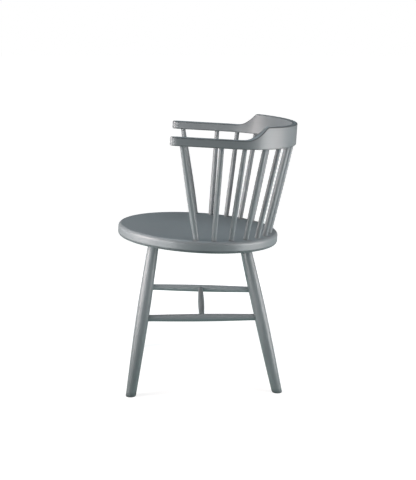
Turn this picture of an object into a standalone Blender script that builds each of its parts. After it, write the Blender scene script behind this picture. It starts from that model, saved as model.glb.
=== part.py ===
"""A low-backed spindle armchair in painted wood.

A round, flat seat stands on four splayed legs, which an H of stretchers ties together. Two arm posts and
a row of back spindles carry one bent rail, low along the arms and taller across the back. Every turned
piece ends in round tenons that sit in blind sockets. Metres, +Z up, the front at -Y, and the sitter's
left at +X. The origin is on the floor, under the middle of the chair.
"""

import bisect
import math
from dataclasses import dataclass
from typing import Callable

import bmesh
import bpy
from mathutils import Matrix, Quaternion, Vector

# Seat
SEAT_HEIGHT = 0.430  # top face at the seat's centre
SEAT_DIAMETER = 0.459
SEAT_THICKNESS = 0.0287
SEAT_PITCH = 3.65  # degrees, falling towards the back
SEAT_TOP_ARRIS = 0.0065  # radius of the upper edge
SEAT_BOTTOM_ARRIS = 0.004

# Legs: where they meet the seat, in from its rim and round from straight ahead or straight behind
FRONT_LEG_INSET = 0.0505
REAR_LEG_INSET = 0.0548
FRONT_LEG_BEARING = 46.5  # degrees
REAR_LEG_BEARING = 40.0
FRONT_LEG_SPLAY = 13.5  # degrees sideways
FRONT_LEG_RAKE = 8.85  # degrees forwards
REAR_LEG_SPLAY = 13.0
REAR_LEG_RAKE = 12.2  # degrees backwards
LEG_TOP_DIAMETER = 0.0288
LEG_SWELL_DIAMETER = 0.0355
LEG_FOOT_DIAMETER = 0.028
LEG_SWELL_DROP = 0.172  # from the seat's underside down to the thickest point
FOOT_CHAMFER = 0.0015
TRIM_WIDTH = 2.0  # of the block that trims the feet level with the floor
TRIM_DEPTH = 0.15

# Stretchers
SIDE_STRETCHER_FRONT_HEIGHT = 0.2075  # at the front leg's axis
SIDE_STRETCHER_REAR_HEIGHT = 0.203
SIDE_STRETCHER_END_DIAMETER = 0.018
SIDE_STRETCHER_SWELL_DIAMETER = 0.0213
CROSS_STRETCHER_END_DIAMETER = 0.0132
CROSS_STRETCHER_SWELL_DIAMETER = 0.0182

# Uprights: their feet stand on a ring inside the seat's rim, their tops run along the rail's middle line
SPINDLES_PER_SIDE = 6  # beside the one in the middle
SPINDLE_RING_INSET = 0.024
POST_FOOT_BEARING = 91.8  # degrees from straight behind, shared out among the spindles
POST_FROM_ARM_END = 0.0328  # along the rail
SPINDLE_TOP_FRACTION = 0.772  # how much of the rail's way to the arm post the spindles take up
SPINDLE_BUNCHING = 0.065  # how much closer than evenly they stand in the middle of the back
SPINDLE_FOOT_DIAMETER = 0.0142
SPINDLE_SWELL_DIAMETER = 0.0151
SPINDLE_TOP_DIAMETER = 0.0131
POST_FOOT_DIAMETER = 0.0155
POST_SWELL_DIAMETER = 0.0176
POST_TOP_DIAMETER = 0.0134
UPRIGHT_SWELL_RISE = 0.085  # from the seat up to the thickest point

# Arm rail: straight arms and a half ellipse round the back, as its middle line runs over the seat
RAIL_RISE = 0.2575  # from the seat's top up to the rail's underside, at the seat's centre
RAIL_PITCH = 3.3  # degrees, falling towards the back
ARM_OVERHANG = 0.0018  # sideways past the seat's rim
CREST_OVERHANG = 0.0363  # backwards past the seat's rim
ARM_SETBACK = 0.1533  # from the seat's front back to the arms' ends
RAIL_BEND_DEPTH = 0.1734  # how far back the bend goes from the straight arms
RAIL_THICKNESS = 0.024
CREST_TOP_THICKNESS = 0.0135  # the crest's inner face slopes back to it
ARM_DEPTH = 0.0233
CREST_DEPTH = 0.0595
CREST_HALF_LENGTH = 0.2315  # along the rail, from the back's middle to the crest's corner
SWOOP_LENGTH = 0.060  # along the rail, from the crest's corner down to the arm
RAIL_ARRIS = 0.0025

# Joints
CLEARANCE = 0.0003
WOOD_OVER_LEG_TENON = 0.010
WOOD_UNDER_SPINDLE_TENON = 0.011
WOOD_OVER_SPINDLE_TENON = 0.009
SIDE_TENON_PAST_LEG_AXIS = 0.004
CROSS_TENON_PAST_STRETCHER_AXIS = 0.002
TENON_CHAMFER = 0.001

# Facets
SEAT_SIDES = 60
LEG_SIDES = 20
STRETCHER_SIDES = 16
SPINDLE_SIDES = 12
ARC_STEPS = 4
ARM_END_STEPS = 8
RAIL_ARRIS_STEPS = 2
LEG_SWELL_STEPS = 5
SLIM_SWELL_STEPS = 3  # stretchers and uprights
BEND_STEP = 0.013  # longest facet along the rail's bend
SWOOP_STEP = 0.0065
BEND_TABLE_STEPS = 360
BEVEL_ANGLE = 50.0  # degrees: sharper edges than this are bevelled, so the tenons' chamfers are not
WELD = 1e-6

# Worked out from the sizes above, from the seat's centre
SEAT_RADIUS = SEAT_DIAMETER / 2
RAIL_HEIGHT = SEAT_HEIGHT + RAIL_RISE
RAIL_HALF_WIDTH = SEAT_RADIUS + ARM_OVERHANG
RAIL_BEND_START = SEAT_RADIUS + CREST_OVERHANG - RAIL_BEND_DEPTH
ARM_REACH = SEAT_RADIUS - ARM_SETBACK
CREST_TAPER = RAIL_THICKNESS - CREST_TOP_THICKNESS

# Painted finish
PAINT_COLOUR = (0.215, 0.243, 0.262, 1.0)
PAINT_ROUGHNESS = 0.42


def clear_scene():
    for obj in list(bpy.data.objects):
        bpy.data.objects.remove(obj, do_unlink=True)


def painted(name):
    material = bpy.data.materials.new(f"{name}_paint")
    material.use_nodes = True
    shader = material.node_tree.nodes["Principled BSDF"]
    shader.inputs["Base Color"].default_value = PAINT_COLOUR
    shader.inputs["Roughness"].default_value = PAINT_ROUGHNESS
    shader.inputs["Metallic"].default_value = 0.0
    return material


def mesh_object(name, bm, chair):
    """An object made from bm, which is used up, carried by the chair's empty."""
    bmesh.ops.recalc_face_normals(bm, faces=bm.faces[:])
    mesh = bpy.data.meshes.new(name)
    bm.to_mesh(mesh)
    bm.free()
    obj = bpy.data.objects.new(name, mesh)
    bpy.context.scene.collection.objects.link(obj)
    obj.parent = chair
    return obj


def finished(obj):
    obj.data.shade_smooth()
    obj.data.set_sharp_from_angle(angle=math.radians(BEVEL_ANGLE))
    obj.data.materials.append(painted(obj.name))
    return obj


def cutter_object(name, bm, chair):
    obj = mesh_object(name, bm, chair)
    obj.hide_render = True
    obj.display_type = "WIRE"
    return obj


def cut(obj, cutter):
    modifier = obj.modifiers.new(cutter.name, "BOOLEAN")
    modifier.operation = "DIFFERENCE"
    modifier.solver = "EXACT"
    modifier.object = cutter


def bevel(obj, width, segments=1):
    modifier = obj.modifiers.new("arris", "BEVEL")
    modifier.width = width
    modifier.segments = segments
    modifier.limit_method = "ANGLE"
    modifier.angle_limit = math.radians(BEVEL_ANGLE)


def lathe(outline, sides):
    """A closed turned shape: the outline, (radius, height) pairs, spun about Z."""
    bm = bmesh.new()
    verts = [bm.verts.new((radius, 0.0, height)) for radius, height in outline]
    edges = [bm.edges.new(pair) for pair in zip(verts, verts[1:])]
    bmesh.ops.spin(bm, geom=verts + edges, axis=(0, 0, 1), angle=math.tau, steps=sides, use_merge=True)
    bmesh.ops.remove_doubles(bm, verts=bm.verts[:], dist=WELD)
    return bm


def arc(centre_radius, centre_height, radius, start, end):
    """Points of a quarter round in an outline, from one angle to another, in degrees up from outwards."""
    angles = [math.radians(start + (end - start) * i / ARC_STEPS) for i in range(ARC_STEPS + 1)]
    return [(centre_radius + radius * math.cos(a), centre_height + radius * math.sin(a)) for a in angles]


@dataclass
class Turned:
    """A turned piece: a body between two points on its axis, and a round tenon past each end."""

    name: str
    lower: Vector
    upper: Vector
    lower_radius: float
    upper_radius: float
    radius_at: Callable[[float], float]  # at a distance from the lower end
    stations: list[float]  # distances from the lower end
    sides: int
    lower_tenon: float
    upper_tenon: float

    @property
    def length(self):
        return (self.upper - self.lower).length

    @property
    def direction(self):
        return (self.upper - self.lower).normalized()

    @property
    def turn(self) -> Quaternion:
        return self.direction.to_track_quat("Z", "Y")

    def outline(self):
        """(radius, height) from the top of the upper tenon to the bottom of the lower one."""
        top = self.length + self.upper_tenon
        bottom = -self.lower_tenon
        points = [(0.0, top), (self.upper_radius - TENON_CHAMFER, top)]
        points.append((self.upper_radius, top - TENON_CHAMFER))
        points += [(self.radius_at(at), at) for at in sorted(self.stations, reverse=True)]
        points.append((self.lower_radius, bottom + TENON_CHAMFER))
        points += [(self.lower_radius - TENON_CHAMFER, bottom), (0.0, bottom)]
        return points

    def make(self, chair):
        obj = mesh_object(self.name, lathe(self.outline(), self.sides), chair)
        obj.location = self.lower
        obj.rotation_mode = "QUATERNION"
        obj.rotation_quaternion = self.turn
        return finished(obj)

    def add_bore(self, bm, at_upper_end):
        """The socket for one tenon: deeper and wider by the clearance, and open past the mouth."""
        radius = (self.upper_radius if at_upper_end else self.lower_radius) + CLEARANCE
        tenon = self.upper_tenon if at_upper_end else self.lower_tenon
        mouth = self.upper if at_upper_end else self.lower
        inward = self.direction if at_upper_end else -self.direction
        bottom = mouth + inward * (tenon + CLEARANCE)
        outside = mouth - inward * radius
        place = Matrix.Translation((bottom + outside) / 2) @ self.turn.to_matrix().to_4x4()
        bmesh.ops.create_cone(
            bm,
            cap_ends=True,
            segments=self.sides,
            radius1=radius,
            radius2=radius,
            depth=(bottom - outside).length,
            matrix=place,
        )


def swelled(length, lower_radius, upper_radius, swell_radius, swell_at, lower_lead, upper_lead, steps):
    """A turned body's radius along its length, and the stations to model it at.

    It is parallel over a lead at each end, and swells smoothly to its thickest point between them.
    """
    rise = swell_at - lower_lead
    fall = length - upper_lead - swell_at

    def radius_at(at):
        if at < swell_at:
            share = max(0.0, at - lower_lead) / rise
            return lower_radius + (swell_radius - lower_radius) * math.sin(math.pi / 2 * share)
        share = max(0.0, length - upper_lead - at) / fall
        return upper_radius + (swell_radius - upper_radius) * math.sin(math.pi / 2 * share)

    stations = [lower_lead + rise * i / steps for i in range(steps)]
    stations += [swell_at + fall * i / steps for i in range(steps + 1)]
    return radius_at, stations


def sockets(host, name, ends, chair):
    """Cuts the host for the given tenons: pairs of a turned piece and whether its upper end is meant."""
    bm = bmesh.new()
    for piece, at_upper_end in ends:
        piece.add_bore(bm, at_upper_end)
    cut(host, cutter_object(name, bm, chair))


# The seat's and the rail's own frames: each is flat in its frame, and its frame is pitched back
SEAT_FRAME = Matrix.Translation((0, 0, SEAT_HEIGHT)) @ Matrix.Rotation(-math.radians(SEAT_PITCH), 4, "X")
RAIL_FRAME = Matrix.Translation((0, 0, RAIL_HEIGHT)) @ Matrix.Rotation(-math.radians(RAIL_PITCH), 4, "X")
SEAT_NORMAL = SEAT_FRAME.to_3x3() @ Vector((0, 0, 1))
RAIL_NORMAL = RAIL_FRAME.to_3x3() @ Vector((0, 0, 1))


def on_seat(inset, bearing, below):
    """A point by its inset from the seat's rim, its bearing in degrees from the back, and its depth."""
    radius = SEAT_RADIUS - inset
    angle = math.radians(bearing)
    return SEAT_FRAME @ Vector((radius * math.sin(angle), radius * math.cos(angle), -below))


def make_seat(chair):
    lower_centre = SEAT_BOTTOM_ARRIS - SEAT_THICKNESS
    outline = [(0.0, 0.0)]
    outline += arc(SEAT_RADIUS - SEAT_TOP_ARRIS, -SEAT_TOP_ARRIS, SEAT_TOP_ARRIS, 90, 0)
    outline += arc(SEAT_RADIUS - SEAT_BOTTOM_ARRIS, lower_centre, SEAT_BOTTOM_ARRIS, 0, -90)
    outline.append((0.0, -SEAT_THICKNESS))
    seat = mesh_object("seat", lathe(outline, SEAT_SIDES), chair)
    seat.matrix_local = SEAT_FRAME
    return finished(seat)


def leg(name, side, forward):
    """A leg from the floor to the seat's underside: side is 1 for left, forward is 1 for front."""
    from_back = 180 - FRONT_LEG_BEARING if forward > 0 else REAR_LEG_BEARING
    splay = math.radians(FRONT_LEG_SPLAY if forward > 0 else REAR_LEG_SPLAY)
    rake = math.radians(FRONT_LEG_RAKE if forward > 0 else REAR_LEG_RAKE)
    inset = FRONT_LEG_INSET if forward > 0 else REAR_LEG_INSET
    top = on_seat(inset, side * from_back, SEAT_THICKNESS)
    down = Vector((side * math.tan(splay), -forward * math.tan(rake), -1))
    foot = top + down * top.z
    length = (top - foot).length
    upper_radius = LEG_TOP_DIAMETER / 2
    foot_radius = LEG_FOOT_DIAMETER / 2
    radius_at, stations = swelled(
        length,
        foot_radius,
        upper_radius,
        LEG_SWELL_DIAMETER / 2,
        length - LEG_SWELL_DROP,
        0.0,
        upper_radius,
        LEG_SWELL_STEPS,
    )
    into_seat = (SEAT_THICKNESS - WOOD_OVER_LEG_TENON) / (top - foot).normalized().dot(SEAT_NORMAL)
    past_floor = LEG_FOOT_DIAMETER
    return Turned(
        name,
        foot,
        top,
        foot_radius,
        upper_radius,
        radius_at,
        stations[1:],  # no ring of corners at the floor itself, where the foot is trimmed
        LEG_SIDES,
        past_floor,
        into_seat,
    )


def cut_at_floor(obj, floor):
    cut(obj, floor)
    bevel(obj, FOOT_CHAMFER)


def floor_cutter(chair):
    """A slab whose top is the floor, under every foot."""
    bm = bmesh.new()
    bmesh.ops.create_cube(bm, size=1.0)
    bmesh.ops.scale(bm, vec=(TRIM_WIDTH, TRIM_WIDTH, TRIM_DEPTH), verts=bm.verts[:])
    bmesh.ops.translate(bm, vec=(0, 0, -TRIM_DEPTH / 2), verts=bm.verts[:])
    return cutter_object("floor", bm, chair)


def at_height(piece, height):
    """The point of a leg's axis at a height, and the leg's radius there."""
    share = (height - piece.lower.z) / (piece.upper.z - piece.lower.z)
    return piece.lower.lerp(piece.upper, share), piece.radius_at(share * piece.length)


def stretcher(name, start, start_radius, end, end_radius, past_axis, diameter, swell_diameter):
    """A stretcher between points on the axes of the two pieces that it joins, whose radii are given."""
    along = (end - start).normalized()
    lower = start + along * start_radius
    upper = end - along * end_radius
    radius = diameter / 2
    length = (upper - lower).length
    radius_at, stations = swelled(
        length,
        radius,
        radius,
        swell_diameter / 2,
        length / 2,
        radius,
        radius,
        SLIM_SWELL_STEPS,
    )
    return Turned(
        name,
        lower,
        upper,
        radius,
        radius,
        radius_at,
        stations,
        STRETCHER_SIDES,
        start_radius + past_axis,
        end_radius + past_axis,
    )


def side_stretcher(name, rear_leg, front_leg):
    rear, rear_radius = at_height(rear_leg, SIDE_STRETCHER_REAR_HEIGHT)
    front, front_radius = at_height(front_leg, SIDE_STRETCHER_FRONT_HEIGHT)
    return stretcher(
        name,
        rear,
        rear_radius,
        front,
        front_radius,
        SIDE_TENON_PAST_LEG_AXIS,
        SIDE_STRETCHER_END_DIAMETER,
        SIDE_STRETCHER_SWELL_DIAMETER,
    )


def cross_stretcher(name, right, left):
    middle_radius = SIDE_STRETCHER_SWELL_DIAMETER / 2
    return stretcher(
        name,
        (right.lower + right.upper) / 2,
        middle_radius,
        (left.lower + left.upper) / 2,
        middle_radius,
        CROSS_TENON_PAST_STRETCHER_AXIS,
        CROSS_STRETCHER_END_DIAMETER,
        CROSS_STRETCHER_SWELL_DIAMETER,
    )


def bend_point(angle):
    """A point of the rail's bend, by the ellipse's angle from the back's middle."""
    along_y = RAIL_BEND_START + RAIL_BEND_DEPTH * math.cos(angle)
    return Vector((RAIL_HALF_WIDTH * math.sin(angle), along_y, 0.0))


def bend_lengths():
    """The length along the bend from the back's middle, at even steps of the ellipse's angle."""
    points = [bend_point(math.pi / 2 * i / BEND_TABLE_STEPS) for i in range(BEND_TABLE_STEPS + 1)]
    lengths = [0.0]
    for near, far in zip(points, points[1:]):
        lengths.append(lengths[-1] + (far - near).length)
    return lengths


BEND_LENGTHS = bend_lengths()
BEND_LENGTH = BEND_LENGTHS[-1]
RAIL_HALF_LENGTH = BEND_LENGTH + RAIL_BEND_START + ARM_REACH
SWOOP_END = CREST_HALF_LENGTH + SWOOP_LENGTH


def rail_place(along):
    """A point of the rail's middle line in its own frame, and the way outwards there.

    The distance along it is from the back's middle, and positive to the left.
    """
    distance = abs(along)
    side = 1 if along >= 0 else -1
    if distance >= BEND_LENGTH:
        point = Vector((RAIL_HALF_WIDTH, RAIL_BEND_START - (distance - BEND_LENGTH), 0.0))
        outward = Vector((1.0, 0.0, 0.0))
    else:
        step = max(1, bisect.bisect_left(BEND_LENGTHS, distance))
        before, after = BEND_LENGTHS[step - 1], BEND_LENGTHS[step]
        angle = math.pi / 2 * (step - 1 + (distance - before) / (after - before)) / BEND_TABLE_STEPS
        point = bend_point(angle)
        outward = Vector((RAIL_BEND_DEPTH * math.sin(angle), RAIL_HALF_WIDTH * math.cos(angle), 0.0))
        outward.normalize()
    point.x *= side
    outward.x *= side
    return point, outward


def crest_share(along):
    """How far the rail's top has risen from the arm to the crest, up a hollow swoop."""
    up_the_swoop = min(1.0, max(0.0, (SWOOP_END - abs(along)) / SWOOP_LENGTH))
    return up_the_swoop**2


def rail_stations():
    """Places along the rail to model it at, from the right arm's end to the left one's."""
    last = RAIL_HALF_LENGTH - RAIL_THICKNESS / 2
    breaks = [0.0, last]
    breaks += [at for at in (CREST_HALF_LENGTH, SWOOP_END, BEND_LENGTH) if at < last]
    breaks.sort()
    half = [0.0]
    for start, end in zip(breaks, breaks[1:]):
        middle = (start + end) / 2
        longest = BEND_STEP if middle < BEND_LENGTH else last
        if CREST_HALF_LENGTH < middle < SWOOP_END:
            longest = SWOOP_STEP
        count = math.ceil((end - start) / longest)
        half += [start + (end - start) * (i + 1) / count for i in range(count)]
    return [-along for along in reversed(half[1:])] + half


def make_rail(chair):
    """The bent rail: its flat plan with round arm ends, extruded, and raised to the crest's outline."""
    bm = bmesh.new()
    along_layer = bm.verts.layers.float.new("along")
    slope_layer = bm.verts.layers.float_vector.new("slope")  # of the inner face, at the crest

    def add(point, along, slope=Vector()):
        vert = bm.verts.new(point)
        vert[along_layer] = along
        vert[slope_layer] = slope
        return vert

    half = RAIL_THICKNESS / 2
    rows = []
    for along in rail_stations():
        point, outward = rail_place(along)
        inner = add(point - outward * half, along, outward * CREST_TAPER)
        rows.append((add(point + outward * half, along), inner))
    for (outer, inner), (next_outer, next_inner) in zip(rows, rows[1:]):
        bm.faces.new((outer, inner, next_inner, next_outer))
    for outer, inner in (rows[0], rows[-1]):
        along = outer[along_layer]
        point, outward = rail_place(along)
        forward = Vector((0.0, -1.0, 0.0))
        end = []
        for i in range(1, ARM_END_STEPS):
            turn = math.pi * i / ARM_END_STEPS
            end.append(add(point + half * (outward * math.cos(turn) + forward * math.sin(turn)), along))
        bm.faces.new([outer, *end, inner])
    raised = bmesh.ops.extrude_face_region(bm, geom=bm.faces[:])["geom"]
    for vert in raised:
        if isinstance(vert, bmesh.types.BMVert):
            share = crest_share(vert[along_layer])
            vert.co.z = ARM_DEPTH + (CREST_DEPTH - ARM_DEPTH) * share
            vert.co += vert[slope_layer] * share
    rail = mesh_object("arm_rail", bm, chair)
    rail.matrix_local = RAIL_FRAME
    bevel(rail, RAIL_ARRIS, RAIL_ARRIS_STEPS)
    return finished(rail)


def upright(name, foot, top, foot_diameter, swell_diameter, top_diameter):
    """A spindle or arm post from the seat's top to the rail's underside."""
    up = (top - foot).normalized()
    foot_radius = foot_diameter / 2
    top_radius = top_diameter / 2
    radius_at, stations = swelled(
        (top - foot).length,
        foot_radius,
        top_radius,
        swell_diameter / 2,
        UPRIGHT_SWELL_RISE,
        foot_radius,
        top_radius,
        SLIM_SWELL_STEPS,
    )
    return Turned(
        name,
        foot,
        top,
        foot_radius,
        top_radius,
        radius_at,
        stations,
        SPINDLE_SIDES,
        (SEAT_THICKNESS - WOOD_UNDER_SPINDLE_TENON) / up.dot(SEAT_NORMAL),
        (ARM_DEPTH - WOOD_OVER_SPINDLE_TENON) / up.dot(RAIL_NORMAL),
    )


def spindle_share(i):
    """A spindle's share of the way from the back's middle to the side's last spindle."""
    share = i / SPINDLES_PER_SIDE
    return share * (1 - SPINDLE_BUNCHING * (1 - share))


def uprights():
    """The centre spindle, then each side's spindles from the middle outwards and its arm post."""
    post_along = RAIL_HALF_LENGTH - POST_FROM_ARM_END
    last_bearing = POST_FOOT_BEARING * SPINDLES_PER_SIDE / (SPINDLES_PER_SIDE + 1)
    last_along = post_along * SPINDLE_TOP_FRACTION
    spindle = (SPINDLE_FOOT_DIAMETER, SPINDLE_SWELL_DIAMETER, SPINDLE_TOP_DIAMETER)
    post = (POST_FOOT_DIAMETER, POST_SWELL_DIAMETER, POST_TOP_DIAMETER)
    places = [("back_spindle_centre", 0.0, 0.0, spindle)]
    for side, word in ((1, "left"), (-1, "right")):
        for i in range(1, SPINDLES_PER_SIDE + 1):
            share = side * spindle_share(i)
            places.append((f"back_spindle_{word}_{i}", share * last_bearing, share * last_along, spindle))
        places.append((f"arm_post_{word}", side * POST_FOOT_BEARING, side * post_along, post))
    made = []
    for name, bearing, along, diameters in places:
        foot = on_seat(SPINDLE_RING_INSET, bearing, 0.0)
        top = RAIL_FRAME @ rail_place(along)[0]
        made.append(upright(name, foot, top, *diameters))
    return made


def centre_on_origin(chair):
    """Moves the chair so that its front and its back are equally far from the origin."""
    bpy.context.view_layer.update()
    graph = bpy.context.evaluated_depsgraph_get()
    reach = []
    for obj in chair.children:
        if obj.hide_render:
            continue
        evaluated = obj.evaluated_get(graph)
        mesh = evaluated.to_mesh()
        reach += [(evaluated.matrix_world @ vert.co).y for vert in mesh.vertices]
        evaluated.to_mesh_clear()
    chair.location.y = -(min(reach) + max(reach)) / 2


def main():
    clear_scene()
    chair = bpy.data.objects.new("chair", None)
    bpy.context.scene.collection.objects.link(chair)

    seat = make_seat(chair)
    rail = make_rail(chair)
    floor = floor_cutter(chair)

    legs = {}
    for word, side in (("left", 1), ("right", -1)):
        for end, forward in (("front", 1), ("rear", -1)):
            legs[end, word] = leg(f"leg_{end}_{word}", side, forward)
    sides = {}
    for word in ("left", "right"):
        sides[word] = side_stretcher(f"side_stretcher_{word}", legs["rear", word], legs["front", word])
    cross = cross_stretcher("cross_stretcher", sides["right"], sides["left"])

    for (end, word), piece in legs.items():
        made = piece.make(chair)
        cut_at_floor(made, floor)
        sockets(made, f"{piece.name}_socket", [(sides[word], end == "front")], chair)
    for word, piece in sides.items():
        sockets(piece.make(chair), f"{piece.name}_socket", [(cross, word == "left")], chair)
    cross.make(chair)

    standing = uprights()
    for piece in standing:
        piece.make(chair)
    feet = [(piece, False) for piece in standing]
    sockets(seat, "seat_sockets", feet + [(piece, True) for piece in legs.values()], chair)
    sockets(rail, "rail_sockets", [(piece, True) for piece in standing], chair)

    centre_on_origin(chair)


main()
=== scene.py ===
"""Looks of the low-backed spindle armchair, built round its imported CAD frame.

Each CAD node is replaced by a finer mesh with painted-in joints, and all of them take one satin paint over
wood. Their sizes are the CAD's, apart from the seat's thickness and roundings and the arms' ends, which
follow the photograph more closely. Metres, +Z up, the front at -Y, and the sitter's left at +X.
"""

import bisect
import math
from dataclasses import dataclass
from typing import Callable

import bmesh
import bpy
from mathutils import Matrix, Vector


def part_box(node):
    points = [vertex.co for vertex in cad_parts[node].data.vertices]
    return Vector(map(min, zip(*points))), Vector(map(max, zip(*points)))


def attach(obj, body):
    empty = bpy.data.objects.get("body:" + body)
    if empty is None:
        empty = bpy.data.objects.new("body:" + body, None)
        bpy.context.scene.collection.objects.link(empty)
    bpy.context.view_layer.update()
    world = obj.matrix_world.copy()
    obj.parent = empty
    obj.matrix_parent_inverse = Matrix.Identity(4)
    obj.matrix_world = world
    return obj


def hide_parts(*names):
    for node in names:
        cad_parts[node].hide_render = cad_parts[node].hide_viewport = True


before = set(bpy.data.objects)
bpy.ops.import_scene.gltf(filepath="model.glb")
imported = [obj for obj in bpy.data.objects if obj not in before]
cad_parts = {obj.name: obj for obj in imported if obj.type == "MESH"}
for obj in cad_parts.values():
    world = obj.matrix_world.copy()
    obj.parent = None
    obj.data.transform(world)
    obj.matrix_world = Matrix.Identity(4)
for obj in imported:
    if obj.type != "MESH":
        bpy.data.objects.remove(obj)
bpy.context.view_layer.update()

# Seat, as in the CAD source
SEAT_HEIGHT = 0.430
SEAT_RADIUS = 0.2295
SEAT_THICKNESS = 0.0287
SEAT_PITCH = math.radians(3.65)
SEAT_BOTTOM_ARRIS = 0.004

# The seat as it is seen: the photograph shows it a little thicker and rounder than the CAD's
SEAT_LIFT = 0.0027  # of the top
SEAT_DROP = 0.001  # of the underside
SEAT_TOP_ROUND = 0.0095
SEAT_BOTTOM_ROUND = 0.008

# Legs: inset from the seat's rim, bearing from straight behind, splay and rake in degrees, and 1 for a foot
# ahead of its top or -1 for one behind it
LEGS = {"front": (0.0505, 133.5, 13.5, 8.85, 1), "rear": (0.0548, 40.0, 13.0, 12.2, -1)}
LEG_TOP_RADIUS = 0.0144
LEG_SWELL_RADIUS = 0.01775
LEG_FOOT_RADIUS = 0.014
LEG_SWELL_DROP = 0.172

# Stretchers
SIDE_STRETCHER_HEIGHTS = {"front": 0.2075, "rear": 0.203}
SIDE_STRETCHER_END_RADIUS = 0.009
SIDE_STRETCHER_SWELL_RADIUS = 0.01065
CROSS_STRETCHER_END_RADIUS = 0.0066
CROSS_STRETCHER_SWELL_RADIUS = 0.0091

# Uprights
SPINDLES_PER_SIDE = 6
SPINDLE_RING_INSET = 0.024
POST_FOOT_BEARING = 91.8
POST_FROM_ARM_END = 0.0328
SPINDLE_TOP_FRACTION = 0.772
SPINDLE_BUNCHING = 0.065
SPINDLE_RADII = (0.0071, 0.00755, 0.00655)  # at the foot, the swell and the top
POST_RADII = (0.00775, 0.0088, 0.0067)
UPRIGHT_SWELL_RISE = 0.085

# Arm rail
RAIL_HEIGHT = 0.6875
RAIL_PITCH = math.radians(3.3)
RAIL_HALF_WIDTH = 0.2313
RAIL_BEND_START = 0.0924
RAIL_BEND_DEPTH = 0.1734
ARM_REACH = 0.0762
RAIL_HALF_THICKNESS = 0.012
ARM_DEPTH = 0.0233
CREST_DEPTH = 0.0595
CREST_TAPER = 0.0105  # how much thinner the rail is at the crest's top
CREST_HALF_LENGTH = 0.2315
SWOOP_LENGTH = 0.060
RAIL_ARRIS = 0.0025
ARM_END_LENGTH = 0.021  # of the arms' rounded ends, as they are seen
CREST_CORNER = 0.0035  # along the rail, each way, that the crest's corner is eased over

# How the pieces are finished where they meet
PAINT_FILLET = 0.0009
EMBED = 0.0015
FILLET_STEPS = 4
# how far from a joint its painted shade fades out
JOINT_FADE = 0.012
FOOT_ROUND = ((0.0, -0.0017), (0.0004, -0.0009), (0.0012, -0.0003), (0.0024, 0.0))  # height, change of radius

# Facets
SEAT_SIDES = 192
SEAT_TOP_RINGS = (0.25, 0.5, 0.75)  # shares of the way out to the seat's rounded edge
LEG_SIDES = 56
STRETCHER_SIDES = 44
SPINDLE_SIDES = 36
BODY_RINGS = 36
ARC_STEPS = 6
SUPPORT = 0.0006  # flats keep their shading this close to a rounded edge
BEND_STEP = 0.004
SWOOP_STEP = 0.002
CORNER_STEP = 0.0008
ARM_STEP = 0.02
ARM_END_STEPS = 24
BEND_TABLE_STEPS = 360

# Where the CAD model puts the seat's centre: its front edge is the model's foremost point
SEAT_REACH = SEAT_RADIUS * math.cos(SEAT_PITCH) + (SEAT_THICKNESS - SEAT_BOTTOM_ARRIS) * math.sin(SEAT_PITCH)
SEAT_CENTRE_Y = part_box("seat")[0].y + SEAT_REACH
SEAT_FRAME = Matrix.Translation((0, SEAT_CENTRE_Y, SEAT_HEIGHT)) @ Matrix.Rotation(-SEAT_PITCH, 4, "X")
RAIL_FRAME = Matrix.Translation((0, SEAT_CENTRE_Y, RAIL_HEIGHT)) @ Matrix.Rotation(-RAIL_PITCH, 4, "X")


@dataclass
class Plane:
    """A flat face that a turned piece ends on."""

    point: Vector
    normal: Vector

    def distance(self, start, along):
        return (self.point - start).dot(self.normal) / along.dot(self.normal)


@dataclass
class Turned:
    """A turned piece between two hosts: its axis, its radius along it, and what it ends on."""

    name: str
    lower: Vector
    upper: Vector
    radius_at: Callable[[float], float]
    sides: int
    lower_host: object
    upper_host: object

    @property
    def length(self):
        return (self.upper - self.lower).length

    @property
    def direction(self):
        return (self.upper - self.lower).normalized()

    def distance(self, start, along):
        """How far along a line this piece's surface is met, as a host to another piece."""
        axis = self.direction
        off = start - self.lower
        across = along - axis * along.dot(axis)
        off_across = off - axis * off.dot(axis)
        closest = -off_across.dot(across) / across.length_squared
        radius = self.radius_at((off + along * closest).dot(axis))
        gap = (off_across + across * closest).length
        return closest - math.sqrt(radius**2 - gap**2) / across.length


def swelled(length, lower_radius, upper_radius, swell_radius, swell_at, lower_lead, upper_lead):
    """A turned body's radius along its length: parallel leads, and a smooth swell between them."""
    rise = swell_at - lower_lead
    fall = length - upper_lead - swell_at

    def radius_at(at):
        if at < swell_at:
            share = max(0.0, at - lower_lead) / rise
            return lower_radius + (swell_radius - lower_radius) * math.sin(math.pi / 2 * share)
        share = max(0.0, length - upper_lead - at) / fall
        return upper_radius + (swell_radius - upper_radius) * math.sin(math.pi / 2 * share)

    return radius_at


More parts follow.
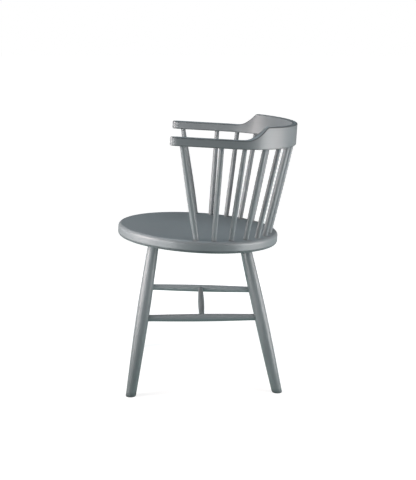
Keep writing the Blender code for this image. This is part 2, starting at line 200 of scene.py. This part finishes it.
class Skin:
    """Vertices, faces and the paint's own coordinates of one piece, with masks for its painted edge and joint
    shade.
    """

    def __init__(self):
        self.verts = []
        self.faces = []
        self.grain = []
        self.edge = []
        self.joint = []

    def vert(self, point, grain, edge=0.0, joint=0.0):
        self.verts.append(tuple(point))
        self.grain.append(tuple(grain))
        self.edge.append(edge)
        self.joint.append(joint)
        return len(self.verts) - 1

    def bridge(self, ring, following, closed=True):
        count = len(ring)
        for i in range(count if closed else count - 1):
            j = (i + 1) % count
            self.faces.append((ring[i], ring[j], following[j], following[i]))

    def fan(self, centre, ring):
        for i, at in enumerate(ring):
            self.faces.append((centre, at, ring[(i + 1) % len(ring)]))

    def piece(self, node, number):
        """Makes the Blender object that stands for a CAD node."""
        name = f"painted_{node}"
        mesh = bpy.data.meshes.new(name)
        mesh.from_pydata(self.verts, [], self.faces)
        bm = bmesh.new()
        bm.from_mesh(mesh)
        bmesh.ops.recalc_face_normals(bm, faces=bm.faces[:])
        bm.to_mesh(mesh)
        bm.free()
        mesh.shade_smooth()
        offset = GRAIN_STEP * number
        grain = mesh.attributes.new("grain", "FLOAT_VECTOR", "POINT")
        for at, value in enumerate(self.grain):
            grain.data[at].vector = Vector(value) + offset
        # masks for the painted shade on the rounded edges and in the joints
        for label, values in (("edge", self.edge), ("joint", self.joint)):
            layer = mesh.attributes.new(label, "FLOAT", "POINT")
            layer.data.foreach_set("value", values)
        mesh.materials.append(PAINT)
        obj = bpy.data.objects.new(name, mesh)
        bpy.context.scene.collection.objects.link(obj)
        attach(obj, "root")
        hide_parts(node)


def fillet():
    """Height above the host and added radius of a painted-in joint, from the host up to the plain body."""
    turns = [math.pi / 2 * i / FILLET_STEPS for i in range(FILLET_STEPS, -1, -1)]
    return [(PAINT_FILLET * (1 - math.sin(turn)), PAINT_FILLET * (1 - math.cos(turn))) for turn in turns]


def turned_skin(piece):
    """Rings of a turned piece. Its end rings lie on its hosts' own surfaces, however they slope."""
    skin = Skin()
    axis = piece.direction
    side = axis.orthogonal().normalized()
    front = axis.cross(side)
    turns = [math.tau * i / piece.sides for i in range(piece.sides)]
    outward = [side * math.cos(turn) + front * math.sin(turn) for turn in turns]
    middle = (piece.lower + piece.upper) / 2
    half = piece.length / 2

    def lower_at(out, radius):
        return half - piece.lower_host.distance(middle + out * radius, -axis)

    def upper_at(out, radius):
        return half + piece.upper_host.distance(middle + out * radius, axis)

    def add(out, at, radius, edge, joint):
        point = piece.lower + axis * at + out * radius
        return skin.vert(point, (out.dot(side) * radius, out.dot(front) * radius, at), edge, joint)

    on_floor = piece.lower_host is FLOOR
    ends = fillet()
    lower_steps = FOOT_ROUND if on_floor else ends
    lower_radius = piece.radius_at(0.0)
    upper_radius = piece.radius_at(piece.length)
    rings = []
    if not on_floor:
        radius = lower_radius + PAINT_FILLET
        rings.append([add(out, lower_at(out, lower_radius) - EMBED, radius, 0.0, 1.0) for out in outward])
    slope = FLOOR.normal.dot(axis) if on_floor else 1.0
    # the foot's rounding takes the painted edge shade, and a joint's end takes the painted joint shade
    edge, joint = (1.0, 0.0) if on_floor else (0.0, 1.0)
    for height, change in lower_steps:
        radius = lower_radius + change
        rings.append(
            [add(out, lower_at(out, radius) + height / slope, radius, edge, joint) for out in outward]
        )
    start = lower_steps[-1][0] / slope
    for i in range(1, BODY_RINGS):
        ring = []
        for out in outward:
            low = lower_at(out, lower_radius) + start
            high = upper_at(out, upper_radius) - PAINT_FILLET
            at = low + (high - low) * i / BODY_RINGS
            near = min(high - at, JOINT_FADE if on_floor else at - low)
            # the painted joint shade fades out over JOINT_FADE from each joint
            ring.append(add(out, at, piece.radius_at(at), 0.0, max(0.0, 1 - near / JOINT_FADE) ** 2))
        rings.append(ring)
    for height, change in reversed(ends):
        radius = upper_radius + change
        rings.append([add(out, upper_at(out, radius) - height, radius, 0.0, 1.0) for out in outward])
    radius = upper_radius + PAINT_FILLET
    rings.append([add(out, upper_at(out, upper_radius) + EMBED, radius, 0.0, 1.0) for out in outward])
    for ring, following in zip(rings, rings[1:]):
        skin.bridge(ring, following)
    bottom = 0.0 if on_floor else -EMBED
    skin.fan(skin.vert(piece.lower + axis * bottom, (0, 0, bottom)), rings[0])
    top = piece.length + EMBED
    skin.fan(skin.vert(piece.lower + axis * top, (0, 0, top)), rings[-1])
    return skin


def arc(centre, radius, start, end):
    """Points of a rounded edge, from one angle to another, in degrees up from outwards."""
    angles = [math.radians(start + (end - start) * i / ARC_STEPS) for i in range(ARC_STEPS + 1)]
    return [(centre[0] + radius * math.cos(a), centre[1] + radius * math.sin(a), 1.0) for a in angles]


def seat_skin():
    """The round seat: its outline as (radius, height, edge), turned about its own axis."""
    skin = Skin()
    top, bottom = SEAT_TOP_ROUND, SEAT_BOTTOM_ROUND
    upper, lower = SEAT_LIFT, -SEAT_THICKNESS - SEAT_DROP
    inner = SEAT_RADIUS - top
    outline = [(inner * share, upper, 0.0) for share in SEAT_TOP_RINGS]
    outline.append((inner - SUPPORT, upper, 0.0))
    outline += [(radius, height, 0.0) for radius, height, _ in arc((inner, upper - top), top, 90, 0)]
    outline += [(SEAT_RADIUS, upper - top - SUPPORT, 0.0), (SEAT_RADIUS, lower + bottom + SUPPORT, 0.0)]
    # the seat's lower rounding takes the painted edge shade, and its upper one does not
    outline += arc((SEAT_RADIUS - bottom, lower + bottom), bottom, 0, -90)
    outline.append((SEAT_RADIUS - bottom - SUPPORT, lower, 0.0))
    outline.append((SEAT_RADIUS / 2, lower, 0.0))
    rings = []
    for radius, height, edge in outline:
        ring = []
        for i in range(SEAT_SIDES):
            turn = math.tau * i / SEAT_SIDES
            own = Vector((radius * math.cos(turn), radius * math.sin(turn), height))
            ring.append(skin.vert(SEAT_FRAME @ own, own.xzy, edge))
        rings.append(ring)
    for ring, following in zip(rings, rings[1:]):
        skin.bridge(ring, following)
    for ring, height in ((rings[0], upper), (rings[-1], lower)):
        own = Vector((0.0, 0.0, height))
        skin.fan(skin.vert(SEAT_FRAME @ own, own.xzy), ring)
    return skin


def bend_point(angle):
    """A point of the rail's bend by the ellipse's angle from the back's middle, in the rail's own frame."""
    along_y = RAIL_BEND_START + RAIL_BEND_DEPTH * math.cos(angle)
    return Vector((RAIL_HALF_WIDTH * math.sin(angle), along_y, 0.0))


def bend_lengths():
    """The length along the bend from the back's middle, at even steps of the ellipse's angle."""
    points = [bend_point(math.pi / 2 * i / BEND_TABLE_STEPS) for i in range(BEND_TABLE_STEPS + 1)]
    lengths = [0.0]
    for near, far in zip(points, points[1:]):
        lengths.append(lengths[-1] + (far - near).length)
    return lengths


BEND_LENGTHS = bend_lengths()
BEND_LENGTH = BEND_LENGTHS[-1]
RAIL_HALF_LENGTH = BEND_LENGTH + RAIL_BEND_START + ARM_REACH
SWOOP_END = CREST_HALF_LENGTH + SWOOP_LENGTH


def rail_place(along):
    """A point of the rail's middle line in its own frame, and the way outwards there."""
    distance = abs(along)
    side = 1 if along >= 0 else -1
    if distance >= BEND_LENGTH:
        point = Vector((RAIL_HALF_WIDTH, RAIL_BEND_START - (distance - BEND_LENGTH), 0.0))
        outward = Vector((1.0, 0.0, 0.0))
    else:
        step = max(1, bisect.bisect_left(BEND_LENGTHS, distance))
        before, after = BEND_LENGTHS[step - 1], BEND_LENGTHS[step]
        angle = math.pi / 2 * (step - 1 + (distance - before) / (after - before)) / BEND_TABLE_STEPS
        point = bend_point(angle)
        outward = Vector((RAIL_BEND_DEPTH * math.sin(angle), RAIL_HALF_WIDTH * math.cos(angle), 0.0))
        outward.normalize()
    point.x *= side
    outward.x *= side
    return point, outward


def swoop(distance):
    """The rail's depth and its slope on the hollow swoop from the crest down to the arm."""
    up = min(1.0, max(0.0, (SWOOP_END - distance) / SWOOP_LENGTH))
    fall = CREST_DEPTH - ARM_DEPTH
    return ARM_DEPTH + fall * up**2, -2 * fall * up / SWOOP_LENGTH


def rail_depth(along):
    """The rail's depth, with the crest's corner eased by a cubic."""
    distance = abs(along)
    start, end = CREST_HALF_LENGTH - CREST_CORNER, CREST_HALF_LENGTH + CREST_CORNER
    if distance <= start:
        return CREST_DEPTH
    if distance >= end:
        return swoop(distance)[0]
    depth, slope = swoop(end)
    span = end - start
    t = (distance - start) / span
    crest = CREST_DEPTH * (2 * t**3 - 3 * t**2 + 1)
    return crest + depth * (3 * t**2 - 2 * t**3) + slope * span * (t**3 - t**2)


def rail_stations():
    """Places along the rail, from the right arm's end to the left one's."""
    last = RAIL_HALF_LENGTH - ARM_END_LENGTH
    stretches = [
        (CREST_HALF_LENGTH - CREST_CORNER, BEND_STEP),
        (CREST_HALF_LENGTH + CREST_CORNER, CORNER_STEP),
        (SWOOP_END, SWOOP_STEP),
        (BEND_LENGTH, BEND_STEP),
        (last, ARM_STEP),
    ]
    half = [0.0]
    for end, step in stretches:
        start = half[-1]
        count = math.ceil((end - start) / step)
        half += [start + (end - start) * (i + 1) / count for i in range(count)]
    return [-along for along in reversed(half[1:])] + half


def eased(before, corner, after):
    """A corner of the rail's section rounded by its arris, with a point on each flat beside it."""
    back = (before - corner).normalized()
    on = (after - corner).normalized()
    half_angle = back.angle(on) / 2
    reach = RAIL_ARRIS / math.tan(half_angle)
    centre = corner + (back + on).normalized() * RAIL_ARRIS / math.sin(half_angle)
    start = corner + back * reach - centre
    end = corner + on * reach - centre
    turns = [start.slerp(end, i / ARC_STEPS) for i in range(ARC_STEPS + 1)]
    points = [(*(centre + turn * RAIL_ARRIS), 1.0) for turn in turns]
    flat = reach + SUPPORT
    return [(*(corner + back * flat), 0.0), *points, (*(corner + on * flat), 0.0)]


def rail_profile(depth, top_half, top_middle):
    """Half the rail's section, from its top's middle to its underside's, as (out, up, edge)."""
    top = Vector((top_middle, depth))
    upper = Vector((top_half, depth))
    lower = Vector((RAIL_HALF_THICKNESS, 0.0))
    under = Vector((0.0, 0.0))
    return [(*top, 0.0), *eased(top, upper, lower), *eased(upper, lower, under), (*under, 0.0)]


def rail_skin():
    """The bent rail: sections along its middle line, and half an oval turn of them round each arm's end."""
    skin = Skin()

    def add(point, way, sign, along, profile):
        made = []
        for out, up, edge in profile:
            place = RAIL_FRAME @ (point + way * out + Vector((0, 0, up)))
            made.append(skin.vert(place, (sign * out, up, along), edge))
        return made

    rows = []
    stations = rail_stations()
    for along in stations:
        point, outward = rail_place(along)
        depth = rail_depth(along)
        taper = CREST_TAPER * (depth - ARM_DEPTH) / (CREST_DEPTH - ARM_DEPTH)
        outer = add(point, outward, 1, along, rail_profile(depth, RAIL_HALF_THICKNESS, taper / 2))
        profile = rail_profile(depth, RAIL_HALF_THICKNESS - taper, -taper / 2)
        inner = add(point, -outward, -1, along, profile[1:-1])
        rows.append((outer, [outer[0], *inner, outer[-1]]))
    for (outer, inner), (next_outer, next_inner) in zip(rows, rows[1:]):
        skin.bridge(outer, next_outer, closed=False)
        skin.bridge(inner, next_inner, closed=False)
    forward = Vector((0.0, -ARM_END_LENGTH / RAIL_HALF_THICKNESS, 0.0))
    profile = rail_profile(ARM_DEPTH, RAIL_HALF_THICKNESS, 0.0)
    for (outer, inner), along in ((rows[0], stations[0]), (rows[-1], stations[-1])):
        point, outward = rail_place(along)
        before = outer
        for i in range(1, ARM_END_STEPS):
            turn = math.pi * i / ARM_END_STEPS
            way = outward * math.cos(turn) + forward * math.sin(turn)
            strip = [outer[0], *add(point, way, math.cos(turn), along, profile[1:-1]), outer[-1]]
            join_strips(skin, before, strip)
            before = strip
        join_strips(skin, before, inner)
    return skin


def join_strips(skin, strip, following):
    """Faces between two strips that share their first and last vertex."""
    for a, b, c, d in zip(strip, strip[1:], following[1:], following):
        skin.faces.append(tuple(dict.fromkeys((a, b, c, d))))


def on_seat(inset, bearing, below):
    """A point by its inset from the seat's rim, its bearing in degrees from the back, and its depth."""
    radius = SEAT_RADIUS - inset
    angle = math.radians(bearing)
    return SEAT_FRAME @ Vector((radius * math.sin(angle), radius * math.cos(angle), -below))


FLOOR = Plane(Vector((0, 0, 0)), Vector((0, 0, 1)))
SEAT_NORMAL = SEAT_FRAME.to_3x3() @ Vector((0, 0, 1))
SEAT_TOP = Plane(SEAT_FRAME.translation + SEAT_NORMAL * SEAT_LIFT, SEAT_NORMAL)
SEAT_UNDERSIDE = Plane(SEAT_FRAME.translation - SEAT_NORMAL * (SEAT_THICKNESS + SEAT_DROP), SEAT_NORMAL)
RAIL_UNDERSIDE = Plane(RAIL_FRAME.translation, RAIL_FRAME.to_3x3() @ Vector((0, 0, 1)))


def leg(end, word, side):
    """A leg from the floor to the seat's underside. Its axis is the CAD's."""
    inset, bearing, splay, rake, forward = LEGS[end]
    top = on_seat(inset, side * bearing, SEAT_THICKNESS)
    down = Vector((side * math.tan(math.radians(splay)), -forward * math.tan(math.radians(rake)), -1))
    foot = top + down * top.z
    length = (top - foot).length
    swell_at = length - LEG_SWELL_DROP
    radius_at = swelled(
        length, LEG_FOOT_RADIUS, LEG_TOP_RADIUS, LEG_SWELL_RADIUS, swell_at, 0.0, LEG_TOP_RADIUS
    )
    return Turned(f"leg_{end}_{word}", foot, top, radius_at, LEG_SIDES, FLOOR, SEAT_UNDERSIDE)


def stretcher(name, start_host, start, end_host, end, end_radius, swell_radius):
    """A stretcher between two turned hosts, whose axes it points at."""
    along = (end - start).normalized()
    middle = (start + end) / 2
    lower = middle - along * start_host.distance(middle, -along)
    upper = middle + along * end_host.distance(middle, along)
    length = (upper - lower).length
    radius_at = swelled(length, end_radius, end_radius, swell_radius, length / 2, end_radius, end_radius)
    return Turned(name, lower, upper, radius_at, STRETCHER_SIDES, start_host, end_host)


def at_height(piece, height):
    """The point of a piece's axis at a height over the floor."""
    return piece.lower.lerp(piece.upper, (height - piece.lower.z) / (piece.upper.z - piece.lower.z))


def side_stretcher(word, rear, front):
    return stretcher(
        f"side_stretcher_{word}",
        rear,
        at_height(rear, SIDE_STRETCHER_HEIGHTS["rear"]),
        front,
        at_height(front, SIDE_STRETCHER_HEIGHTS["front"]),
        SIDE_STRETCHER_END_RADIUS,
        SIDE_STRETCHER_SWELL_RADIUS,
    )


def upright(name, bearing, along, radii):
    """A spindle or arm post from a bearing on the seat to a place along the rail."""
    foot = on_seat(SPINDLE_RING_INSET, bearing, 0.0)
    top = RAIL_FRAME @ rail_place(along)[0]
    lower, swell, upper = radii
    radius_at = swelled((top - foot).length, lower, upper, swell, UPRIGHT_SWELL_RISE, lower, upper)
    return Turned(name, foot, top, radius_at, SPINDLE_SIDES, SEAT_TOP, RAIL_UNDERSIDE)


def spindle_share(i):
    """A spindle's share of the way from the back's middle to the side's last spindle."""
    share = i / SPINDLES_PER_SIDE
    return share * (1 - SPINDLE_BUNCHING * (1 - share))


def turned_pieces():
    """Every piece apart from the seat and the rail."""
    pieces = []
    sides = []
    for word, side in (("left", 1), ("right", -1)):
        front, rear = leg("front", word, side), leg("rear", word, side)
        sides.append(side_stretcher(word, rear, front))
        pieces += [front, rear, sides[-1]]
    left, right = sides
    pieces.append(
        stretcher(
            "cross_stretcher",
            right,
            (right.lower + right.upper) / 2,
            left,
            (left.lower + left.upper) / 2,
            CROSS_STRETCHER_END_RADIUS,
            CROSS_STRETCHER_SWELL_RADIUS,
        )
    )
    post_along = RAIL_HALF_LENGTH - POST_FROM_ARM_END
    last_bearing = POST_FOOT_BEARING * SPINDLES_PER_SIDE / (SPINDLES_PER_SIDE + 1)
    last_along = post_along * SPINDLE_TOP_FRACTION
    pieces.append(upright("back_spindle_centre", 0.0, 0.0, SPINDLE_RADII))
    for word, side in (("left", 1), ("right", -1)):
        for i in range(1, SPINDLES_PER_SIDE + 1):
            share = side * spindle_share(i)
            name = f"back_spindle_{word}_{i}"
            pieces.append(upright(name, share * last_bearing, share * last_along, SPINDLE_RADII))
        pieces.append(upright(f"arm_post_{word}", side * POST_FOOT_BEARING, side * post_along, POST_RADII))
    return pieces


# Paint: linear colours
PAINT_DEEP = (0.161, 0.180, 0.190, 1.0)
PAINT_PALE = (0.179, 0.200, 0.211, 1.0)
PAINT_EDGE_SHADE = (0.080, 0.090, 0.095, 1.0)  # painted shade on the rounded edges
# painted shade in the joints, where the pieces meet
PAINT_JOINT_SHADE = (0.125, 0.141, 0.150, 1.0)
EDGE_SHADE_SHARE = (0.55, 0.95)  # share of the painted edge shade in the colour, by the fibres
# how strongly the painted joint shade is laid on
JOINT_SHADE_SHARE = 0.55

# Its noises: features to the metre across and along the grain, and detail
FIBRES = ((170.0, 170.0, 7.0), 5.0)
PORES = ((800.0, 800.0, 30.0), 2.0)
STIPPLE = ((620.0, 620.0, 620.0), 1.0)
PATCHES = ((11.0, 11.0, 11.0), 3.0)
TONE_RANGE = (0.35, 0.65)  # the part of a noise that colours run over
PATCHES_IN_TONE, FIBRES_IN_TONE = 0.6, 0.4
FIBRES_IN_RELIEF, PORES_IN_RELIEF, STIPPLE_IN_RELIEF = 0.55, 0.2, 0.25
BUMP_STRENGTH, BUMP_DISTANCE = 0.08, 0.0006
GRAIN_STEP = Vector((0.37, 0.61, 0.83))  # from one piece's grain to the next one's

# Its gloss
ROUGHNESS = (0.34, 0.42)
ROUGHNESS_RANGE = (0.3, 0.7)  # the part of the patches that it runs over
EDGE_POLISH = 0.04
RUBBED_ROUGHNESS = 0.20  # added where the seat and the arms are rubbed dull from above
RUBBED_FACING = (0.85, 0.99)  # how far up a face looks, from where that starts to where it is full
PAINT_IOR = 1.5
SPECULAR_LEVEL = 0.42


def add_node(tree, kind, inputs=None, **settings):
    """A node with its settings, and its inputs linked to sockets or set to values."""
    made = tree.nodes.new(kind)
    for key, value in settings.items():
        setattr(made, key, value)
    for key, value in (inputs or {}).items():
        if isinstance(value, bpy.types.NodeSocket):
            tree.links.new(value, made.inputs[key])
        else:
            made.inputs[key].default_value = value
    return made


def mixed(tree, share, first, second):
    """A mix of two colours, which are a Mix node's inputs 6 and 7, and come out of its output 2."""
    return add_node(tree, "ShaderNodeMix", {0: share, 6: first, 7: second}, data_type="RGBA").outputs[2]


def noise(tree, vector, stretch, detail):
    """Noise in the piece's own coordinates: so many features to the metre across and along the grain."""
    place = add_node(tree, "ShaderNodeMapping", {"Vector": vector, "Scale": stretch}).outputs[0]
    inputs = {"Vector": place, "Scale": 1.0, "Detail": detail}
    return add_node(tree, "ShaderNodeTexNoise", inputs).outputs["Fac"]


def ranged(tree, value, source, target):
    """A value brought from one range to another, and held at its ends."""
    inputs = {"Value": value}
    inputs["From Min"], inputs["From Max"] = source
    inputs["To Min"], inputs["To Max"] = target
    return add_node(tree, "ShaderNodeMapRange", inputs).outputs[0]


def math_node(tree, operation, first, second):
    return add_node(tree, "ShaderNodeMath", {0: first, 1: second}, operation=operation).outputs[0]


def weighted(tree, *parts):
    """The sum of some values, each times its weight."""
    products = [math_node(tree, "MULTIPLY", value, weight) for value, weight in parts]
    total = products[0]
    for product in products[1:]:
        total = math_node(tree, "ADD", total, product)
    return total


def light_path(tree):
    """A Light Path node's outputs, and 1 for what is seen directly or through something clear."""
    path = add_node(tree, "ShaderNodeLightPath").outputs
    return path, math_node(tree, "MAXIMUM", path["Is Camera Ray"], path["Is Transmission Ray"])


def satin_paint():
    """Satin paint over wood: faint fibres under it, painted shade on the edges and in the joints, duller
    tops.
    """
    material = bpy.data.materials.new("satin_paint")
    material.use_nodes = True
    tree = material.node_tree
    shader = tree.nodes["Principled BSDF"]
    grain = add_node(tree, "ShaderNodeAttribute", attribute_name="grain").outputs["Vector"]
    edge = add_node(tree, "ShaderNodeAttribute", attribute_name="edge").outputs["Fac"]
    joint = add_node(tree, "ShaderNodeAttribute", attribute_name="joint").outputs["Fac"]

    fibres = noise(tree, grain, *FIBRES)
    pores = noise(tree, grain, *PORES)
    stipple = noise(tree, grain, *STIPPLE)
    patches = noise(tree, grain, *PATCHES)

    tone = weighted(tree, (patches, PATCHES_IN_TONE), (fibres, FIBRES_IN_TONE))
    colour = mixed(tree, ranged(tree, tone, TONE_RANGE, (0.0, 1.0)), PAINT_DEEP, PAINT_PALE)
    # painted shade on the rounded edges: the colour darkens where the edge mask is set
    edge_shade = math_node(tree, "MULTIPLY", edge, ranged(tree, fibres, TONE_RANGE, EDGE_SHADE_SHARE))
    colour = mixed(tree, edge_shade, colour, PAINT_EDGE_SHADE)
    # painted shade in the joints, where the pieces meet
    colour = mixed(tree, math_node(tree, "MULTIPLY", joint, JOINT_SHADE_SHARE), colour, PAINT_JOINT_SHADE)
    tree.links.new(colour, shader.inputs["Base Color"])

    rough = ranged(tree, patches, ROUGHNESS_RANGE, ROUGHNESS)
    rough = math_node(tree, "SUBTRACT", rough, math_node(tree, "MULTIPLY", edge, EDGE_POLISH))
    normal = add_node(tree, "ShaderNodeNewGeometry").outputs["Normal"]
    upward = add_node(tree, "ShaderNodeSeparateXYZ", {"Vector": normal}).outputs["Z"]
    rough = math_node(tree, "ADD", rough, ranged(tree, upward, RUBBED_FACING, (0.0, RUBBED_ROUGHNESS)))
    tree.links.new(rough, shader.inputs["Roughness"])

    relief = weighted(
        tree, (fibres, FIBRES_IN_RELIEF), (pores, PORES_IN_RELIEF), (stipple, STIPPLE_IN_RELIEF)
    )
    inputs = {"Height": relief, "Strength": BUMP_STRENGTH, "Distance": BUMP_DISTANCE}
    tree.links.new(add_node(tree, "ShaderNodeBump", inputs).outputs[0], shader.inputs["Normal"])
    shader.inputs["IOR"].default_value = PAINT_IOR
    shader.inputs["Specular IOR Level"].default_value = SPECULAR_LEVEL
    return material


PAINT = satin_paint()

# Stage: a pale floor that keeps a faint shadow and runs out to white
FLOOR_SIZE = 60.0
FLOOR_COLOUR = (0.34, 0.56, 0.52, 1.0)  # of the light that it throws back on the chair
FLOOR_SHADE_COLOUR = (0.35, 0.35, 0.35, 1.0)  # how much of the shadow is seen
FLOOR_RUN = (0.5, 1.1)  # from the chair's middle, over which it runs out to white
FLOOR_GLOW = (0.78, 1.0)
WHITE = (1.0, 1.0, 1.0, 1.0)
BACKDROP_IN_GLOSS = 0.04
AMBIENT = (0.95, 0.98, 1.0, 1.0)
AMBIENT_STRENGTH = 0.08


def make_floor():
    """The camera sees the floor as near white. Other rays see its own colour."""
    mesh = bpy.data.meshes.new("floor")
    half = FLOOR_SIZE / 2
    corners = [(-half, -half, 0), (half, -half, 0), (half, half, 0), (-half, half, 0)]
    mesh.from_pydata(corners, [], [(0, 1, 2, 3)])
    floor = bpy.data.objects.new("floor", mesh)
    bpy.context.scene.collection.objects.link(floor)
    material = bpy.data.materials.new("pale_floor")
    material.use_nodes = True
    tree = material.node_tree
    tree.nodes.clear()
    place = add_node(tree, "ShaderNodeTexCoord").outputs["Object"]
    away = add_node(tree, "ShaderNodeVectorMath", {0: place}, operation="LENGTH").outputs["Value"]
    glow = ranged(tree, away, FLOOR_RUN, FLOOR_GLOW)
    lit = add_node(tree, "ShaderNodeEmission", {"Strength": glow}).outputs[0]
    shade = add_node(tree, "ShaderNodeBsdfDiffuse", {"Color": FLOOR_SHADE_COLOUR}).outputs[0]
    seen = add_node(tree, "ShaderNodeAddShader", {0: lit, 1: shade}).outputs[0]
    pale = add_node(tree, "ShaderNodeBsdfDiffuse", {"Color": FLOOR_COLOUR}).outputs[0]
    _, direct = light_path(tree)
    surface = add_node(tree, "ShaderNodeMixShader", {0: direct, 1: pale, 2: seen}).outputs[0]
    add_node(tree, "ShaderNodeOutputMaterial", {"Surface": surface})
    mesh.materials.append(material)


def make_world():
    """White behind the chair, and a soft ambient light on it."""
    world = bpy.data.worlds.new("studio")
    bpy.context.scene.world = world
    world.use_nodes = True
    tree = world.node_tree
    tree.nodes.clear()
    path, direct = light_path(tree)
    gloss = math_node(tree, "MULTIPLY", path["Is Glossy Ray"], BACKDROP_IN_GLOSS)
    white = math_node(tree, "MAXIMUM", direct, gloss)
    inputs = {"Color": AMBIENT, "Strength": AMBIENT_STRENGTH}
    ambient = add_node(tree, "ShaderNodeBackground", inputs).outputs[0]
    backdrop = add_node(tree, "ShaderNodeBackground", {"Color": WHITE, "Strength": 1.0}).outputs[0]
    surface = add_node(tree, "ShaderNodeMixShader", {0: white, 1: ambient, 2: backdrop}).outputs[0]
    add_node(tree, "ShaderNodeOutputWorld", {"Surface": surface})


# Soft boxes round the chair: name, bearing from the camera's side in degrees, distance, height, width,
# length, height faced, spread in degrees, watts, colour, and whether it shows in the gloss
PLAIN, WARM, COOL = (1.0, 1.0, 1.0), (1.075, 0.975, 0.95), (0.80, 1.045, 1.155)
LAMPS = (
    ("left_box", -75, 1.15, 0.67, 0.64, 0.70, 0.48, 106, 6.5, WARM, True),
    ("front_left_box", -41, 1.15, 0.48, 0.40, 0.32, 0.50, 66, 0.95, PLAIN, True),
    ("left_high_box", -72, 1.20, 1.10, 0.55, 0.60, 0.60, 118, 2.5, WARM, True),
    ("right_box", 66, 1.10, 0.43, 0.40, 0.54, 0.53, 114, 3.2, PLAIN, True),
    ("back_box", 87, 1.10, 0.44, 0.42, 0.56, 0.50, 118, 1.9, WARM, True),
    ("right_high_box", 60, 1.20, 1.15, 0.55, 0.60, 0.50, 150, 2.9, WARM, True),
    ("far_top_box", 180, 0.60, 1.80, 0.70, 0.70, 0.40, 180, 7.0, COOL, True),
    ("front_low_box", 38, 0.90, 0.12, 0.40, 0.16, 0.12, 50, 0.065, PLAIN, False),
    ("far_fill_box", 180, 1.40, 0.22, 1.20, 0.36, 0.45, 140, 4.0, PLAIN, False),
)
LAMP_MIDDLE_Y = -0.02


def make_lamps():
    for name, bearing, distance, height, width, length, facing, spread, power, colour, gloss in LAMPS:
        data = bpy.data.lights.new(name, "AREA")
        data.shape = "RECTANGLE"
        data.size, data.size_y = width, length
        data.spread = math.radians(spread)
        data.energy = power
        data.color = colour
        lamp = bpy.data.objects.new(name, data)
        turn = math.radians(bearing)
        lamp.location = (distance * math.cos(turn), distance * math.sin(turn) + LAMP_MIDDLE_Y, height)
        way = Vector((0.0, LAMP_MIDDLE_Y, facing)) - lamp.location
        lamp.rotation_euler = way.to_track_quat("-Z", "Y").to_euler()
        lamp.visible_camera = False
        lamp.visible_glossy = gloss
        bpy.context.scene.collection.objects.link(lamp)


# Camera, solved from the photograph
CAMERA_PLACE = (3.0218, -0.0502, 1.0068)
CAMERA_YAW = math.radians(1.015)
CAMERA_PITCH = math.radians(11.518)
CAMERA_SENSOR = 36.0
CAMERA_LENS = 79.94


def make_camera():
    data = bpy.data.cameras.new("camera")
    data.sensor_width = CAMERA_SENSOR
    data.lens = CAMERA_LENS
    camera = bpy.data.objects.new("camera", data)
    level = Vector((-math.cos(CAMERA_YAW), math.sin(CAMERA_YAW), 0.0))
    forward = level * math.cos(CAMERA_PITCH) - Vector((0, 0, math.sin(CAMERA_PITCH)))
    camera.location = CAMERA_PLACE
    camera.rotation_euler = forward.to_track_quat("-Z", "Y").to_euler()
    bpy.context.scene.collection.objects.link(camera)
    bpy.context.scene.camera = camera


make_camera()
seat_skin().piece("seat", 0)
rail_skin().piece("arm_rail", 1)
for number, turned in enumerate(turned_pieces(), 2):
    turned_skin(turned).piece(turned.name, number)
make_floor()
make_world()
make_lamps()
bpy.context.scene.view_settings.view_transform = "Standard"
